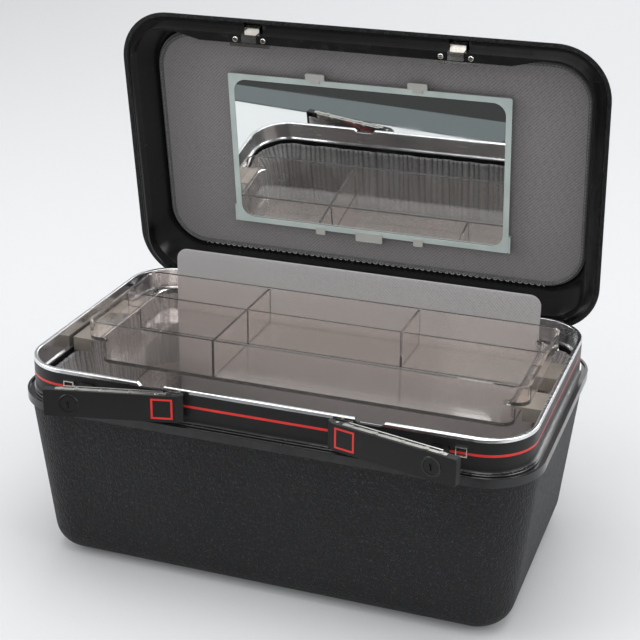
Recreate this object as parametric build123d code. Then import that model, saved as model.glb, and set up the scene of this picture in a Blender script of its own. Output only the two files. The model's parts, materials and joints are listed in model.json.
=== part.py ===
"""Hard-sided make-up case: moulded tub, framed rim, lift-out tray, mirror lid and two side-swinging latches.

Millimetres. +Z is up, -Y is the front with the latches, +X is the right-hand side seen from the front.
The origin is the centre of the case's footprint, on the surface that it stands on.
The lid is drawn closed, then turned to the open position that it rests in. Latches likewise.
"""
from math import cos, radians, sin, tan
import os

from build123d import *

# Rim: the outer outline that the tub, the band and the lid all follow
rim_width = 345.0
rim_depth = 204.0
rim_corner = 33.0
rim_top = 146.0

# Tub
wall = 3.0
draft = 6.2
tub_flare = 3.0
tub_edge = 20.0

# Band, bumper rail and rim trim
band_wall = 2.4
band_height = 24.0
bumper_height = 6.0
bumper_reach = 5.6
bead_reach = 0.9
bead_height = 2.0
trim_height = 2.5
trim_skirt = 0.6
skirt_drop = 15.0
skirt_bead = 1.2
stripe_drop = 11.2
stripe_height = 1.8
stripe_depth = 0.5
notch_width = 13.8
notch_depth = 3.0

# Lining, gathered pockets and back panel
lining = 1.5
fit_gap = 0.2
pad_thickness = 3.0
pad_inset = 30.0
gather_drop = 19.5
gather_height = 58.0
gather_lean = 5.1
gather_back = 2.0
fold_pitch = 8.0
fold_depth = 3.2
gather_corner_gap = 8.0
panel_end_gap = 32.5
panel_standoff = 19.5
panel_thickness = 2.2
panel_rise = 22.5
panel_corner = 8.0

# Tray
tray_end_gap = 15.0
tray_ledge = 9.5
tray_depth = 108.0
tray_panel_gap = 7.0
tray_rise = 4.5
tray_drop = 24.5
tray_step = 6.5
tray_wall = 2.0
tray_corner = 9.0
divider = 1.8
divider_drop = 0.6
back_row = 45.5
left_column = 96.5
right_column = 103.0

# Tray supports
support_length = 76.0
support_forward = 15.5
support_wall = 1.6
support_gap = 0.3
shelf_length = 26.0
shelf_reach = 17.2
gusset_length = 12.0
hook_drop = 17.2
hook_wall = 1.4

# Lid
lid_open = 82.4
lid_gap = 0.2
lid_height = 44.0
lid_reach = 5.0
lid_wall = 2.8
lid_skin_slope = 1.1
# Dome of the lid: share of its height, then the inset at the sides and at the front and back
lid_dome = ((0.0, 0.0, 0.0), (0.057, 0.5, 0.8), (0.32, 3.2, 6.0), (0.61, 7.2, 12.8), (0.82, 15.0, 22.0),
            (0.945, 27.0, 35.0), (1.0, 46.0, 54.0))
groove_depth = 0.9
groove_reach = 0.9
web = 2.1
skin_gap = 0.3
tongue_inset = 3.9
tongue_wall = 1.3
tongue_drop = 8.0
tongue_relief = 9.0
rail_overhang = 38.0
rail_taper = 22.0
rail_depth = 6.2
frame_wall = 1.6
lining_side_inset = 10.5
lining_edge_inset = 16.5
lining_corner = 27.0
lining_level = 24.6
board = 3.0
piping = 2.0
piping_width = 2.6

# Lid hinges
hinge_inset = 2.0
hinge_drop = 3.8
hinge_from_end = 77.5
knuckle_radius = 2.4
knuckle_length = 10.0
knuckle_gap = 0.3
hinge_pin = 1.1
running_gap = 0.05
leaf = 1.0
leaf_drop = 20.0
web_leaf = 1.6

# Catches on the lid
hook_width = 11.0
hook_plate = 1.0
hook_leg = 0.5
hook_tip = 2.4
catch_rivet_offset = 10.4
catch_rivet_radius = 1.9
catch_rivet_rise = 0.8
backing_width = 29.6
backing_reach = 2.6
backing_plate = 0.7
slot_depth = 5.0

# Mirror
mirror_x = 2.0
mirror_width = 211.0
mirror_height = 118.4
mirror_level = 17.7
glass = 2.0
backing = 1.0
border = 4.2
border_rise = 0.3
silver_corner = 9.5
mirror_pin = 0.7
mirror_knuckle = 1.7
mirror_hinge_inset = 3.2
mirror_hinge_spread = 38.0
ear_width = 3.0
clip_width = 14.3
clip_reach = 5.0
clip_wall = 0.8
clip_gap = 0.1
clip_lip = 2.2
clip_corner = 1.2
clip_neck = 7.0
foot_clip_width = 7.2
foot_clip_reach = 3.4
tab_width = 20.6
lip_height = 13.0
bumper_pad_radius = 4.0
bumper_pad_x = 70.0
bumper_pad_y = 45.0
seat_gap = 0.3

# Latches
latch_length = 90.5
latch_pivot_inset = 6.0
latch_pivot_out = 4.85
latch_slope = 4.5
latch_top = 1.5
latch_height = 18.3
latch_face_out = 8.85
latch_skin = 1.6
latch_flange = 1.2
latch_corner = 1.1
latch_inside = 3.8
latch_open = 13.2
latch_pin = 1.2
lug = 1.4
lug_gap = 0.5
lug_reach = 2.2
lug_clearance = 0.3
bracket_width = 12.0
bracket_wall = 1.6
lever_inset = 13.5
lever_end_gap = 3.0
lever_step = 9.0
lever_wall = 1.0
lever_rise = 0.7
lever_rivet = 1.7
lever_rivets = (0.33, 0.44, 0.70)
square_size = 14.2
square_line = 1.3
square_inset = 1.8
inlay = 0.4
lock_from_end = 16.5
lock_radius = 6.7
lock_ring = 1.3
lock_rise = 0.5
cylinder_length = 4.6
keyhole_radius = 1.3
keyhole_slot = 1.1
keyhole_depth = 1.0
hook_from_start = 25.0
staple_from_end = 7.0
staple_width = 7.4
staple_height = 6.6
staple_wire = 0.7
staple_out = 1.7
tab_from_end = 20.1
tab_span = 11.4
tab_height = 7.0
tab_out = 1.7
fitting_drop = 9.9

# Handle
handle_span = 128.0
handle_reach = 34.0
handle_section = 8.4
handle_arm = 7.0
handle_grip = 13.0
handle_corner = 14.0
handle_pin = 2.0
handle_seat = 0.3
handle_gap = 0.3
bracket_depth = 16.0
bracket_foot = 6.0
bracket_ear = 3.0
handle_plate = 1.6

tub_top = rim_top - band_height - bumper_height
hinge_y = rim_depth / 2 - hinge_inset
hinge_z = rim_top - hinge_drop
hinge_x = rim_width / 2 - hinge_from_end
lid_zero = rim_top + lid_gap
front = -rim_depth / 2
lid_axis = Axis((0, hinge_y, hinge_z), (1, 0, 0))
latch_axis_y = front - latch_pivot_out
latch_end = rim_width / 2 - rim_corner
latch_start = latch_end - latch_length
latch_face_start = latch_start + latch_slope
latch_pivot_x = latch_start + latch_pivot_inset
catch_x = latch_start + hook_from_start
staple_x = latch_end - staple_from_end
tab_x = latch_end - tab_from_end
rail_half = catch_x + rail_overhang
latch_low = rim_top - latch_top - latch_height
latch_mid = latch_low + latch_height / 2
panel_width = rim_width - 2 * panel_end_gap
panel_front = rim_depth / 2 - panel_standoff
lining_width = rim_width - 2 * lining_side_inset
lining_depth = rim_depth - 2 * lining_edge_inset
tray_width = rim_width - 2 * tray_end_gap
tray_foot_width = tray_width - 2 * tray_ledge
tray_back = panel_front - tray_panel_gap
tray_y = tray_back - tray_depth / 2
long_divider_y = tray_back - back_row
left_divider_x = left_column - tray_width / 2
right_divider_x = tray_width / 2 - right_column


def box(x0, x1, y0, y1, z0, z1):
    """Plain block between two corners."""
    return Pos((x0 + x1) / 2, (y0 + y1) / 2, (z0 + z1) / 2) * Box(abs(x1 - x0), abs(y1 - y0), abs(z1 - z0))


def slab(reach, z0, z1):
    """Slab with the rim's outline, grown by reach."""
    outline = RectangleRounded(rim_width + 2 * reach, rim_depth + 2 * reach, rim_corner + reach)
    return Pos(0, 0, z0) * extrude(outline, z1 - z0)


def ring(outer, inner, z0, z1):
    """Ring that follows the rim's outline between two offsets from it."""
    return slab(outer, z0, z1) - slab(inner, z0 - 1, z1 + 1)


def bar(radius, start, direction, length):
    """Round bar from a point along a direction."""
    return extrude(Plane(start, z_dir=direction) * Circle(radius), length)


def drafted(reach, height, edge):
    """Closed block with the rim's outline that narrows upwards and has a rounded top edge."""
    outline = RectangleRounded(rim_width + 2 * reach, rim_depth + 2 * reach, rim_corner + reach)
    block = extrude(outline, height, taper=draft)
    return fillet(block.faces().sort_by(Axis.Z)[-1].edges(), edge)


def in_tub(inset):
    """Solid that fills the tub to its top edge, kept inset from its outer skin on every side."""
    block = drafted(tub_flare - inset / cos(radians(draft)), tub_top - inset, tub_edge - inset)
    return Pos(0, 0, tub_top) * Rot(180, 0, 0) * block


def both_sides(piece):
    """A right-hand piece and its mirror image on the left, as two solids."""
    return [piece, mirror(piece, Plane.YZ)]


def opened(piece):
    """Turn a closed lid piece to the open rest position."""
    if isinstance(piece, list):
        return [one.rotate(lid_axis, -lid_open) for one in piece]
    return piece.rotate(lid_axis, -lid_open)


def swung(piece, side):
    """Swing a closed latch piece out to its rest position; side is 1 right, -1 left."""
    axis = Axis((side * latch_pivot_x, latch_axis_y, 0), (0, 0, 1))
    return piece.rotate(axis, -side * latch_open)


def save(name, shape):
    """Write one node; a list is a group of separate solids."""
    if isinstance(shape, list):
        shape = Compound(children=[solid for one in shape for solid in one.solids()])
    export_step(shape, f"parts/{name}.step")


# ---- tub, rail, band and rim ----

def hinge_slots():
    """Openings in the rear of the rim for the lid's hinge knuckles."""
    half = 1.5 * knuckle_length + 2 * knuckle_gap
    low = hinge_z - knuckle_radius - 1.0
    outside = rim_depth / 2 + 1
    return [box(side * hinge_x - half, side * hinge_x + half, hinge_y - knuckle_radius - 1.5, outside,
                low, rim_top + 1) for side in (-1, 1)]


def notches(depth):
    """Bevel-ended cuts in the front of the rim that the lid's hooks drop into."""
    cuts = []
    for side in (-1, 1):
        top = notch_width / 2 + depth
        profile = make_face(Polyline((-top, 0.01), (top, 0.01), (notch_width / 2, -depth),
                                     (-notch_width / 2, -depth), close=True))
        plane = Plane((side * catch_x, front + 5, rim_top), x_dir=(1, 0, 0), z_dir=(0, -1, 0))
        cuts.append(extrude(plane * profile, 8))
    return cuts


def make_base_shell():
    shell = in_tub(0) - in_tub(wall) - box(-rim_width, rim_width, -rim_depth, rim_depth, tub_top, rim_top)
    mouth = slab(0, tub_top - wall / 2, tub_top + 1)
    return shell - mouth


def make_bumper_rail():
    top = tub_top + bumper_height
    rail = ring(bumper_reach, -band_wall, tub_top, top)
    outer = rail.edges().filter_by(lambda edge: edge.bounding_box().size.X > rim_width)
    rail = fillet(outer, bumper_height / 4) if len(outer) else rail
    channel = ring(bumper_reach - 1.6, bead_reach + 0.4, top - 1.0, top + 1)
    return rail - channel


def make_rail_bead():
    return ring(bead_reach, 0, tub_top + bumper_height, tub_top + bumper_height + bead_height)


def make_band():
    low = tub_top + bumper_height
    band = ring(0, -band_wall, low, rim_top - trim_height)
    groove_low = rim_top - stripe_drop - stripe_height / 2
    band -= ring(1, -stripe_depth, groove_low, groove_low + stripe_height)
    for cut in hinge_slots() + notches(notch_depth):
        band -= cut
    return band


def make_pinstripe():
    low = rim_top - stripe_drop - stripe_height / 2
    return ring(-fit_gap / 2, -stripe_depth, low, low + stripe_height)


def make_rim_trim():
    inner = -band_wall - trim_skirt
    cap = ring(0, inner, rim_top - trim_height, rim_top)
    cap = fillet(cap.edges().group_by(Axis.Z)[-1], trim_height / 3)
    skirt = ring(-band_wall, inner, rim_top - skirt_drop, rim_top - trim_height)
    bead = ring(-band_wall, inner - skirt_bead, rim_top - skirt_drop - skirt_bead, rim_top - skirt_drop)
    trim = cap + skirt + bead
    for cut in hinge_slots() + notches(notch_depth):
        trim -= cut
    return trim


# ---- lining, pockets, panel ----

lining_skin = wall + fit_gap
room_skin = lining_skin + lining + fit_gap


def make_lining_bag():
    return in_tub(lining_skin) - in_tub(lining_skin + lining)


def make_floor_pad():
    low = wall + fit_gap + lining
    width = rim_width - 2 * pad_inset
    depth = rim_depth - 2 * pad_inset
    pad = Pos(0, 0, low) * extrude(RectangleRounded(width, depth, rim_corner / 2), pad_thickness)
    return fillet(pad.edges().group_by(Axis.Z)[-1], pad_thickness * 0.45)


def gathered_strip(length):
    """Upright cloth strip with rounded folds on its near face, hung from its top edge at z = 0."""
    folds = round(length / fold_pitch)
    pitch = length / folds
    start = -length / 2
    lines = [Polyline((start, -gather_back), (start, 0), (-start, 0), (-start, -gather_back))]
    for index in range(folds):
        x = start + index * pitch
        depth = fold_depth * (0.75 + 0.25 * cos(2.4 * index))
        crest = (x + pitch / 2, -gather_back - depth)
        lines.append(ThreePointArc((x, -gather_back), crest, (x + pitch, -gather_back)))
    face = make_face(Curve() + lines)
    return extrude(face, -gather_height)


def make_gathers(name):
    """One gathered pocket: its back hangs from the inside of the band and leans in with the tub's wall."""
    long_side = rim_width - 2 * (rim_corner + gather_corner_gap)
    short_side = rim_depth - 2 * (rim_corner + gather_corner_gap)
    top = rim_top - gather_drop
    long_out = rim_depth / 2 - band_wall - fit_gap
    short_out = rim_width / 2 - band_wall - fit_gap
    turns = {"back": (0, long_side, long_out), "left": (90, short_side, short_out),
             "front": (180, long_side, long_out), "right": (270, short_side, short_out)}
    turn, length, out = turns[name]
    strip = Rot(-gather_lean, 0, 0) * gathered_strip(length)
    return Rot(0, 0, turn) * Pos(0, out, top) * strip


def make_back_panel():
    low = wall
    high = rim_top + panel_rise
    outline = RectangleRounded(panel_width, high - low, panel_corner)
    board_plane = Plane((0, panel_front, (low + high) / 2), x_dir=(1, 0, 0), z_dir=(0, -1, 0))
    panel = extrude(board_plane * outline, -panel_thickness)
    room = in_tub(room_skin) + box(-rim_width / 2, rim_width / 2, 0, panel_front + panel_thickness + 1,
                                   tub_top - 1, high + 1)
    return panel & room


# ---- tray ----

def tray_block(width, inset, z0, z1):
    outline = RectangleRounded(width - 2 * inset, tray_depth - 2 * inset, tray_corner - inset)
    return Pos(0, tray_y, z0) * extrude(outline, z1 - z0)


def make_tray():
    top = rim_top + tray_rise
    low = rim_top - tray_drop
    shelf = rim_top - tray_step
    tray = tray_block(tray_width, 0, shelf - tray_wall, top) + tray_block(tray_foot_width, 0, low, shelf)
    tray -= tray_block(tray_width, tray_wall, shelf, top + 1)
    tray -= tray_block(tray_foot_width, tray_wall, low + tray_wall, shelf + 1)
    inner = tray_wall / 2
    half = tray_width / 2 - inner
    high = top - divider_drop
    near, far = long_divider_y - divider / 2, long_divider_y + divider / 2
    walls = box(-half, half, near, far, shelf - inner, high)
    foot_half = tray_foot_width / 2 - inner
    walls += box(-foot_half, foot_half, near, far, low + inner, shelf)
    rows = [(left_divider_x, tray_back - tray_depth + inner), (right_divider_x, long_divider_y)]
    for x, near in rows:
        walls += box(x - divider / 2, x + divider / 2, near, tray_back - inner, low + inner, high)
    return tray + walls


def make_tray_support():
    """Right-hand end support: a low rail hooked on the band, with two shelves for the tray's end."""
    shelf_top = rim_top - tray_step - tray_wall - seat_gap
    wall_face = rim_width / 2 - band_wall - fit_gap
    outside = wall_face - trim_skirt - skirt_bead - support_gap
    inside = outside - support_wall
    first = tray_y - support_forward - support_length / 2
    last = first + support_length
    hook_high = rim_top - hook_drop
    hook_low = hook_high - hook_wall
    rail = box(inside, outside, first, last, hook_low, shelf_top)
    for near in (first, last - shelf_length):
        rail += box(inside - shelf_reach, outside, near, near + shelf_length,
                    shelf_top - support_wall, shelf_top)
        for edge in (near, near + shelf_length - support_wall):
            rail += box(inside - gusset_length, inside, edge, edge + support_wall, hook_low, shelf_top)
    quarter = support_length / 4
    middle = first + support_length / 2
    return rail + box(inside, wall_face, middle - quarter, middle + quarter, hook_low, hook_high)


# ---- lid ----

def lid_slab(reach, low, high):
    return slab(reach, lid_zero + low, lid_zero + high)


def lid_ring(outer, inner, low, high):
    return ring(outer, inner, lid_zero + low, lid_zero + high)


def lid_block(inset):
    """Domed solid that fills the lid, kept inset from its outer skin."""
    sections = []
    for share, side, end in lid_dome:
        reach = lid_reach - inset * lid_skin_slope
        outline = RectangleRounded(rim_width + 2 * (reach - side), rim_depth + 2 * (reach - end),
                                   rim_corner + reach - (side + end) / 8)
        sections.append(Pos(0, 0, lid_zero + share * (lid_height - inset)) * outline)
    return loft(sections)


def catch_slots():
    """Recesses over the hooks, in the lid's rim face."""
    half = notch_width / 2
    return [box(side * catch_x - half, side * catch_x + half, front - 2.5, front + 4.5,
                lid_zero - 1, lid_zero + slot_depth) for side in (-1, 1)]


def make_lid_shell():
    shell = lid_block(0) - lid_block(lid_wall)
    for cut in catch_slots():
        shell -= cut
    return shell


def lining_outline(grow):
    return RectangleRounded(lining_width + 2 * grow, lining_depth + 2 * grow, lining_corner + grow)


def frame_wall_block(grow):
    """Solid inside the lid's sloping inner wall, from the groove to the lining."""
    inset = -tongue_inset - tongue_wall + grow
    low = RectangleRounded(rim_width + 2 * inset, rim_depth + 2 * inset, rim_corner + inset)
    high = lining_outline(grow)
    start = lid_zero + groove_depth
    end = lid_zero + lining_level + board
    return loft([Pos(0, 0, start) * low, Pos(0, 0, end) * high])


def make_lid_frame():
    inner = -tongue_inset - tongue_wall
    edge = lid_reach - lid_wall - 0.4
    frame = lid_ring(edge, groove_reach, 0, groove_depth + web)
    frame += lid_ring(edge - 0.2, inner, groove_depth, groove_depth + web)
    frame += lid_ring(-tongue_inset, inner, -tongue_drop, groove_depth)
    rail_back = front + tongue_inset + rail_depth
    rail_front = front + tongue_inset + tongue_wall / 2
    wide = rail_half + rail_taper
    rail = make_face(Polyline((-wide, rail_front), (wide, rail_front), (rail_half, rail_back),
                              (-rail_half, rail_back), close=True))
    frame += Pos(0, 0, lid_zero - tongue_drop) * extrude(rail, tongue_drop + groove_depth + web)
    frame += frame_wall_block(frame_wall) - frame_wall_block(0)
    behind_rail = box(-rail_half, rail_half, rail_back, 0, lid_zero, lid_zero + lining_level)
    frame -= frame_wall_block(0) & behind_rail
    relief = box(-rim_width, rim_width, rim_depth / 2 - tongue_relief, rim_depth, lid_zero - tongue_drop - 1,
                 lid_zero + groove_depth)
    keep_face = ring(lid_reach, groove_reach, lid_zero - tongue_drop - 2, lid_zero + groove_depth + 1)
    frame -= relief - keep_face
    for cut in catch_slots():
        frame -= cut
    return frame - (lid_slab(lid_reach + 1, 0, lid_height) - lid_block(lid_wall + skin_gap))


def make_lid_lining():
    outline = lining_outline(-fit_gap)
    return Pos(0, 0, lid_zero + lining_level) * extrude(outline, board)


def make_lid_piping():
    low = lid_zero + lining_level - piping
    outer = extrude(lining_outline(-fit_gap - 0.2), piping)
    inner = extrude(lining_outline(-fit_gap - 0.2 - piping_width), piping)
    cord = Pos(0, 0, low) * (outer - inner)
    return fillet(cord.edges().group_by(Axis.Z)[0], piping * 0.4)


def make_catch_hooks():
    """Bent hook plates riveted to the lid's rail, one for each latch."""
    tongue_face = front + tongue_inset
    low = lid_zero - tongue_drop
    half = hook_width / 2
    hook = box(catch_x - half, catch_x + half, tongue_face - hook_leg, tongue_face + rail_depth - 0.8,
               low - hook_plate, low)
    hook += box(catch_x - half, catch_x + half, tongue_face - hook_leg, tongue_face - 0.05,
                low - hook_plate, lid_zero - hook_tip + hook_plate)
    hook += box(catch_x - half, catch_x + half, front + 0.5, tongue_face - 0.05,
                lid_zero - hook_tip, lid_zero - hook_tip + hook_plate)
    hook += box(catch_x - half, catch_x + half, front + 0.5, front + 0.5 + hook_plate,
                lid_zero - hook_tip, lid_zero + slot_depth)
    return both_sides(hook)


def make_catch_rivets():
    y = front + tongue_inset + 3.4
    rivets = []
    for offset in (-catch_rivet_offset, catch_rivet_offset):
        start = (catch_x + offset, y, lid_zero - tongue_drop)
        head = bar(catch_rivet_radius, start, (0, 0, -1), catch_rivet_rise)
        head = fillet(head.edges().group_by(Axis.Z)[0], catch_rivet_rise * 0.6)
        rivets += both_sides(head)
    return rivets


def make_catch_backings():
    """Thin plates under the rail's inner edge that the rivets clamp."""
    y = front + tongue_inset + rail_depth
    low = lid_zero - tongue_drop + 0.4
    half = backing_width / 2
    return both_sides(box(catch_x - half, catch_x + half, y, y + backing_reach, low, low + backing_plate))


# ---- hinges ----

def knuckle(x, length, radius=None, hole=None):
    radius = radius or knuckle_radius
    hole = hole or hinge_pin + running_gap
    start = (x - length / 2, hinge_y, hinge_z)
    return bar(radius, start, (1, 0, 0), length) - bar(hole, start, (1, 0, 0), length)


def make_base_hinge_leaves():
    outside = rim_depth / 2
    leaves = []
    for side in (-1, 1):
        x = side * hinge_x
        half = 1.5 * knuckle_length
        low_edge = hinge_z - knuckle_radius - 1.0
        leaf_top = low_edge + knuckle_gap
        leaf_plate = box(x - half, x + half, outside, outside + leaf, rim_top - leaf_drop, leaf_top)
        for end in (-1, 1):
            middle = x + end * (knuckle_length + knuckle_gap)
            arm = box(middle - knuckle_length / 2, middle + knuckle_length / 2, hinge_y + knuckle_radius / 2,
                      outside + leaf, leaf_top, hinge_z)
            arm -= bar(hinge_pin + running_gap, (middle - knuckle_length, hinge_y, hinge_z), (1, 0, 0),
                       2 * knuckle_length)
            leaf_plate += knuckle(middle, knuckle_length, hole=hinge_pin) + arm
        leaves.append(leaf_plate)
    return leaves


def make_hinge_rivets():
    outside = rim_depth / 2 + leaf
    rivets = []
    for side in (-1, 1):
        for offset in (-knuckle_length, 0, knuckle_length):
            head = bar(1.8, (side * hinge_x + offset, outside, rim_top - leaf_drop + 5.5), (0, 1, 0), 0.8)
            rivets.append(fillet(head.edges().group_by(Axis.Y)[-1], 0.5))
    return rivets


def make_hinge_pins():
    half = 1.5 * knuckle_length + knuckle_gap
    starts = [(side * hinge_x - half, hinge_y, hinge_z) for side in (-1, 1)]
    return [bar(hinge_pin, start, (1, 0, 0), 2 * half) for start in starts]


def make_lid_hinge_leaves():
    leaves = []
    half = knuckle_length / 2
    for side in (-1, 1):
        x = side * hinge_x
        arm = box(x - half, x + half, hinge_y - web_leaf / 2, hinge_y + web_leaf / 2, hinge_z,
                  lid_zero + groove_depth - 0.05)
        arm -= bar(hinge_pin + running_gap, (x - half, hinge_y, hinge_z), (1, 0, 0), knuckle_length)
        foot = box(x - half, x + half, hinge_y - 1.6, hinge_y + 2.6, lid_zero + groove_depth - 0.8,
                   lid_zero + groove_depth)
        leaves.append(knuckle(x, knuckle_length) + arm + foot)
    return leaves


# ---- mirror ----

mirror_top_y = -mirror_height / 2
mirror_axis_y = mirror_top_y + mirror_hinge_inset
mirror_axis_z = lid_zero + mirror_level + glass + backing + mirror_knuckle + fit_gap
glass_low = lid_zero + mirror_level
glass_high = glass_low + glass
back_high = glass_high + backing


def mirror_block(inset, z0, z1, corner=1.5):
    outline = RectangleRounded(mirror_width - 2 * inset, mirror_height - 2 * inset, corner)
    return Pos(mirror_x, 0, z0) * extrude(outline, z1 - z0)


def make_mirror_glass():
    return mirror_block(0, glass_low, glass_high)


def make_mirror_border():
    face = glass_low - border_rise
    return mirror_block(0, face, glass_low) - mirror_block(border, face - 1, glass_low + 1, silver_corner)


def make_mirror_backing():
    plate = mirror_block(1.0, glass_high, back_high)
    for side in (-1, 1):
        x = mirror_x + side * mirror_hinge_spread
        start = (x - ear_width / 2, mirror_axis_y, mirror_axis_z)
        roll = bar(mirror_knuckle, start, (1, 0, 0), ear_width)
        foot = box(x - ear_width / 2, x + ear_width / 2, mirror_axis_y - mirror_knuckle,
                   mirror_axis_y + mirror_knuckle, back_high - 0.1, mirror_axis_z)
        plate += (roll + foot) - bar(mirror_pin + running_gap, start, (1, 0, 0), ear_width)
    return plate


def wrap_clip(x, width, y_edge, out, reach, lip_width=None):
    """Clip round an edge of the glass; out is -1 past the top edge and 1 past the bottom edge."""
    half = width / 2
    lip_half = (lip_width or width) / 2
    low = glass_low - border_rise - clip_wall
    near = y_edge + out * clip_gap
    lip = box(x - lip_half, x + lip_half, y_edge - out * clip_lip, near + out * clip_wall,
              low, low + clip_wall)
    pad = box(x - half, x + half, near, y_edge + out * reach, low, low + 2 * clip_wall)
    pad = fillet(pad.edges().filter_by(Axis.Z).group_by(Axis.Y)[0 if out < 0 else -1], clip_corner)
    side_wall = box(x - lip_half, x + lip_half, near, near + out * clip_wall, low, back_high)
    return lip + pad + side_wall


def make_mirror_top_clips():
    return [wrap_clip(mirror_x + side * mirror_hinge_spread, clip_width, mirror_top_y, -1, clip_reach,
                      clip_neck)
            for side in (-1, 1)]


def make_mirror_foot_clips():
    return [wrap_clip(mirror_x + side * mirror_hinge_spread, foot_clip_width, -mirror_top_y, 1,
                      foot_clip_reach)
            for side in (-1, 1)]


def make_mirror_tab():
    return wrap_clip(mirror_x, tab_width, -mirror_top_y, 1, clip_reach)


def make_mirror_lips():
    """Narrow lips on the two lower corners of the glass."""
    lips = []
    for side in (-1, 1):
        edge = mirror_x + side * mirror_width / 2
        lips.append(box(edge + side * 0.1, edge + side * 1.3, -mirror_top_y - lip_height, -mirror_top_y,
                        glass_low - border_rise, back_high))
    return lips


def make_mirror_ears():
    """Ears on the lining board that carry the mirror's two pivots, with their pins."""
    ears = []
    face = lid_zero + lining_level
    for side in (-1, 1):
        x = mirror_x + side * mirror_hinge_spread
        pair = None
        for end in (-1, 1):
            near = x + end * (ear_width / 2 + 0.2)
            far = near + end * ear_width
            ear = box(min(near, far), max(near, far), mirror_axis_y - 1.0, mirror_axis_y + 1.4,
                      mirror_axis_z - mirror_pin - 0.5, face)
            pair = ear if pair is None else pair + ear
        reach = ear_width * 1.5 + 0.2
        pair += bar(mirror_pin, (x - reach, mirror_axis_y, mirror_axis_z), (1, 0, 0), 2 * reach)
        ears.append(pair)
    return ears


def make_mirror_bumpers():
    height = lining_level - mirror_level - glass - backing - seat_gap
    start = lid_zero + lining_level
    return [bar(bumper_pad_radius, (mirror_x + side * bumper_pad_x, bumper_pad_y, start), (0, 0, -1), height)
            for side in (-1, 1)]


# ---- latches ----

def latch_face_y():
    return front - latch_face_out


def make_latch_cover():
    """Right-hand latch cover: a channel with a sloping inner end."""
    face = latch_face_y()
    back = face + latch_skin + latch_inside
    top = latch_low + latch_height
    cover = box(latch_start, latch_end, face, back, latch_low, top)
    slope = make_face(Polyline((latch_face_start, face - 0.01), (latch_start - 0.01, face - 0.01),
                               (latch_start - 0.01, face + 2.6), close=True))
    cover -= Pos(0, 0, latch_low - 1) * extrude(slope, latch_height + 2)
    cavity = box(latch_start - 1, latch_end - latch_flange, face + latch_skin, back + 1,
                 latch_low + latch_flange, top - latch_flange)
    cavity -= box(latch_start - 2, latch_face_start, face, face + 3.8, latch_low, top)
    cavity += bar(lug_reach + lug_clearance, (latch_pivot_x, latch_axis_y, latch_low + latch_flange), (0, 0, 1),
                  latch_height - 2 * latch_flange)
    cover -= cavity
    pivot = (latch_pivot_x, latch_axis_y, latch_low - 1)
    cover -= bar(latch_pin + running_gap, pivot, (0, 0, 1), latch_height + 2)
    cover -= bar(lock_radius, (latch_end - lock_from_end, face - 1, latch_mid), (0, 1, 0), latch_skin + 2)
    square = square_block(0, face - 1, face + inlay) - square_block(square_line, face - 2, face + 1)
    end_edges = cover.edges().filter_by(Axis.Y).group_by(Axis.X)[-1]
    return fillet(end_edges, latch_corner) - square


def square_block(inset, y0, y1):
    start = latch_face_start + square_inset
    half = square_size / 2 - inset
    return box(start + inset, start + square_size - inset, y0, y1, latch_mid - half, latch_mid + half)


def make_square_inlay():
    face = latch_face_y()
    return square_block(0, face - 0.05, face + inlay) - square_block(square_line, face - 1, face + 1)


def make_latch_lever():
    """Steel strip behind the cover that the cover is fixed to."""
    back = latch_face_y() + latch_skin + latch_inside
    low = latch_low + latch_flange
    high = latch_low + latch_height + lever_rise
    far = latch_end - lever_end_gap
    strip = box(latch_start + lever_inset, far, back, back + lever_wall, low, high)
    return strip - box(far - lever_step, far, back, back + lever_wall, high - lever_step / 2, high)


def make_latch_rivets():
    back = latch_face_y() + latch_skin + latch_inside + lever_wall
    high = latch_low + latch_height - 1.6
    rivets = []
    for place in lever_rivets:
        start = (latch_start + place * latch_length, back, high)
        rivets.append(bar(lever_rivet, start, (0, 1, 0), lever_wall / 2))
    return rivets


def make_lock_ring():
    face = latch_face_y()
    start = (latch_end - lock_from_end, face - lock_rise, latch_mid)
    collar = bar(lock_radius, start, (0, 1, 0), latch_skin + lock_rise)
    collar = chamfer(collar.edges().group_by(Axis.Y)[0], lock_rise / 2)
    return collar - bar(lock_radius - lock_ring, start, (0, 1, 0), latch_skin + lock_rise)


def make_lock_cylinder():
    face = latch_face_y()
    x = latch_end - lock_from_end
    start = (x, face - lock_rise / 2, latch_mid)
    plug = bar(lock_radius - lock_ring - running_gap, start, (0, 1, 0), cylinder_length)
    hole = bar(keyhole_radius, (x, face - lock_rise, latch_mid + 0.9), (0, 1, 0), keyhole_depth)
    hole += box(x - keyhole_slot / 2, x + keyhole_slot / 2, face - lock_rise, face - lock_rise + keyhole_depth,
                latch_mid - 2.8, latch_mid + 0.5)
    return plug - hole


def make_latch_bracket():
    """Right-hand pivot bracket on the band, with two lugs for the latch's pin."""
    low = latch_low + latch_flange + lug_gap
    high = latch_low + latch_height - latch_flange - lug_gap
    start = latch_pivot_x - bracket_width / 2 + 2
    plate = box(start, start + bracket_width, front - bracket_wall, front, low, high)
    for z in (low, high - lug):
        plate += box(latch_pivot_x - lug_reach, latch_pivot_x + lug_reach, latch_axis_y, front, z, z + lug)
        plate += bar(lug_reach, (latch_pivot_x, latch_axis_y, z), (0, 0, 1), lug)
    return plate - bar(latch_pin, (latch_pivot_x, latch_axis_y, low - 1), (0, 0, 1), high - low + 2)


def make_latch_pin():
    return bar(latch_pin, (latch_pivot_x, latch_axis_y, latch_low + 0.2), (0, 0, 1), latch_height - 0.4)


def make_staples():
    """Square wire loops on the band that the latches close over."""
    z = rim_top - fitting_drop
    outer = box(staple_x - staple_width / 2, staple_x + staple_width / 2, front - staple_out, front,
                z - staple_height / 2, z + staple_height / 2)
    hole = box(staple_x - staple_width / 2 + staple_wire, staple_x + staple_width / 2 - staple_wire,
               front - staple_out, front, z - staple_height / 2 + staple_wire,
               z + staple_height / 2 - staple_wire)
    return both_sides(outer - hole)


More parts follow.
